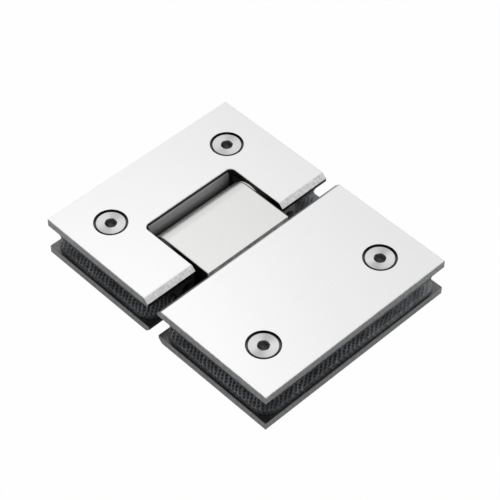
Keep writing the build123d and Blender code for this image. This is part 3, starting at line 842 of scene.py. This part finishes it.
class HINGE_OT_studio(Operator):
    """Sets up the floor, the lights, the backdrop and the camera."""

    bl_idname = "hinge.studio"
    bl_label = "Studio"

    def execute(self, context):
        settings = context.scene.hinge_studio
        half, level = settings.floor_size / 2, cad_low.z - settings.floor_gap
        corners = [(-half, -half, level), (half, -half, level), (half, half, level), (-half, half, level)]
        mesh = bpy.data.meshes.new("floor")
        mesh.from_pydata(corners, [], [(0, 1, 2, 3)])
        mesh.materials.append(floor_card(settings))
        floor = show("floor", mesh)
        studio_world(settings)
        aim = Vector((settings.look_x, settings.look_y, cad_high.z))
        towards = direction(settings.azimuth, settings.elevation)
        behind = direction(settings.azimuth + math.pi + settings.key_turn, settings.key_elevation)
        key_place = aim + behind * settings.key_distance
        softbox("softbox_behind", key_place, aim, settings.key_size, settings.key_power)
        side = Vector((towards.y, -towards.x, 0)).normalized()
        fill_place = aim + (towards + side * settings.fill_side).normalized() * settings.key_distance
        softbox("softbox_beside", fill_place, aim, settings.key_size, settings.fill_power)
        camera = bpy.data.cameras.new("camera")
        camera.lens = settings.lens
        camera.clip_start = CLIP_START
        context.scene.camera = show("camera", camera, aim + towards * settings.distance, -towards)
        context.scene.view_settings.view_transform = "Standard"
        return {"FINISHED"}


class HINGE_OT_plates(Operator):
    """Finishes the plates and the knuckle block in satin stainless steel."""

    bl_idname = "hinge.plates"
    bl_label = "Plates and knuckle"

    def execute(self, context):
        settings = context.scene.hinge_steel
        plates = satin_stainless("satin_stainless_plate", settings.face_colour, settings, notched=True)
        dress(["door_front_plate", "door_back_plate", "panel_front_plate", "panel_back_plate"], plates)
        block = satin_stainless("satin_stainless_block", settings.knuckle_colour, settings, notched=False)
        dress(["knuckle_block"], block)
        return {"FINISHED"}


class HINGE_OT_pivot(Operator):
    """Finishes the housing, the pin, the bushes and the detents."""

    bl_idname = "hinge.pivot"
    bl_label = "Pivot and detents"

    def execute(self, context):
        settings = context.scene.hinge_steel
        dress(["pivot_housing"], cast_housing(settings))
        ground = plain_metal("ground_steel", settings.pin_colour, roughness=0.25, grit=0.2 * MM)
        dress(["pivot_pin", "detent_plungers", "detent_springs"], ground)
        dress(["pivot_bushes"], white_acetal(settings))
        return {"FINISHED"}


class HINGE_OT_gaskets(Operator):
    """Makes the four PVC gaskets with rounded edges and an embossed face."""

    bl_idname = "hinge.gaskets"
    bl_label = "Gaskets"

    def execute(self, context):
        settings = context.scene.hinge_gaskets
        finish = embossed_pvc(settings)
        for clamp, side in (("door", -1), ("panel", 1)):
            for layer in ("front", "back"):
                node = f"{clamp}_{layer}_gasket"
                low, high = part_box(node)
                near, far = sorted((abs(low.x), abs(high.x)))
                loop = gasket_loop(near, far, high.y, settings)
                if side < 0:
                    loop = loop[::-1] * np.array([-1.0, 1.0])
                piece = sheet_surface(f"{node}_sheet", loop, low.z, high.z, settings.edge_radius)
                piece.data.materials.append(finish)
                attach(piece, f"{clamp}_clamp")
                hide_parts(node)
        return {"FINISHED"}


class HINGE_OT_screws(Operator):
    """Makes the screws with their hexagon sockets and threads."""

    bl_idname = "hinge.screws"
    bl_label = "Screws"

    def execute(self, context):
        settings, steel = context.scene.hinge_screws, context.scene.hinge_steel
        sizes = {"clamp": row_radius("panel_clamp_screws"), "fixing": row_radius("housing_fixing_screws")}
        face_width = (sizes["clamp"] * (1 - settings.head_bevel) - settings.clamp_socket * MOUTH) / MM
        turned = turned_steel(steel, face_width)
        for node, body, kind, columns in (
            ("door_clamp_screws", "door_clamp", "clamp", settings.columns),
            ("panel_clamp_screws", "panel_clamp", "clamp", settings.columns),
            ("housing_fixing_screws", "door_clamp", "fixing", settings.columns // 2),
            ("knuckle_fixing_screws", "panel_clamp", "fixing", settings.columns // 2),
        ):
            shank, rim, pitch, flats, depth = [
                getattr(settings, f"{kind}_{part}") for part in ("shank", "rim", "pitch", "socket", "depth")
            ]
            head = sizes[kind]
            places, total = screw_places(node, head, "Z")
            neck = shank - head - rim
            bevel, tip = settings.head_bevel * head, settings.shank_tip * shank
            profile = [(head - bevel, 0.0), (head, -bevel), (head, -rim), (shank, neck)]
            profile += [(shank, tip - total), (shank - tip, -total)]
            top = neck - pitch
            rings = screw_rings(profile, pitch, top, (flats, depth), columns, settings.rows_per_turn)
            finish_screw(node, body, screw_surfaces(f"{node}_threaded", places, "Z", rings), turned)
        oxide = plain_metal("black_oxide", steel.oxide_colour, roughness=0.45, grit=0.3 * MM)
        columns = settings.columns * 2 // 3
        for node, body, pitch, socket in (
            ("pin_locking_screws", "door_clamp", settings.lock_pitch, settings.lock_socket),
            ("detent_set_screws", "panel_clamp", settings.set_pitch, settings.set_socket),
        ):
            low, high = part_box(node)
            radius = (high.z - low.z) / 2
            places, total = screw_places(node, radius, "X")
            tip = settings.grub_tip * radius
            profile = [(radius - tip, 0.0), (radius, -tip), (radius, tip - total), (radius - tip, -total)]
            rings = screw_rings(profile, pitch, -tip, (socket, socket), columns, settings.rows_per_turn)
            finish_screw(node, body, screw_surfaces(f"{node}_threaded", places, "X", rings), oxide)
        return {"FINISHED"}


def finish_screw(node, body, piece, finish):
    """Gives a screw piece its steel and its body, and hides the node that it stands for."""
    piece.data.materials.append(finish)
    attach(piece, body)
    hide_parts(node)


class HINGE_OT_bosses(Operator):
    """Finishes the threaded bosses."""

    bl_idname = "hinge.bosses"
    bl_label = "Threaded bosses"

    def execute(self, context):
        settings = context.scene.hinge_steel
        finish = plain_metal("turned_steel_boss", settings.pin_colour, roughness=0.3, grit=0.2 * MM)
        dress(["door_threaded_bosses", "panel_threaded_bosses"], finish)
        return {"FINISHED"}


OPERATORS = (
    HINGE_OT_studio,
    HINGE_OT_plates,
    HINGE_OT_pivot,
    HINGE_OT_gaskets,
    HINGE_OT_screws,
    HINGE_OT_bosses,
)


class HINGE_PT_sidebar(Panel):
    """Lists the steps and their sizes and colours."""

    bl_idname = "HINGE_PT_sidebar"
    bl_label = "Glass Door Hinge"
    bl_space_type = "VIEW_3D"
    bl_region_type = "UI"
    bl_category = "Hinge"

    def draw(self, context):
        for operator in OPERATORS:
            self.layout.operator(operator.bl_idname)
        for group in SETTINGS:
            box = self.layout.box()
            settings = getattr(context.scene, group)
            for name in settings.__annotations__:
                box.prop(settings, name)


CLASSES = (*SETTINGS.values(), *OPERATORS, HINGE_PT_sidebar)


def register():
    """Registers the classes and hangs the settings on the scene."""
    for cls in CLASSES:
        bpy.utils.register_class(cls)
    for name, group in SETTINGS.items():
        setattr(bpy.types.Scene, name, PointerProperty(type=group))


def unregister():
    """Takes the settings and the classes away again."""
    for name in SETTINGS:
        delattr(bpy.types.Scene, name)
    for cls in reversed(CLASSES):
        bpy.utils.unregister_class(cls)


def main():
    """Makes everything in order."""
    register()
    for operator in OPERATORS:
        group, name = operator.bl_idname.split(".")
        getattr(getattr(bpy.ops, group), name)()


if __name__ == "__main__":
    main()
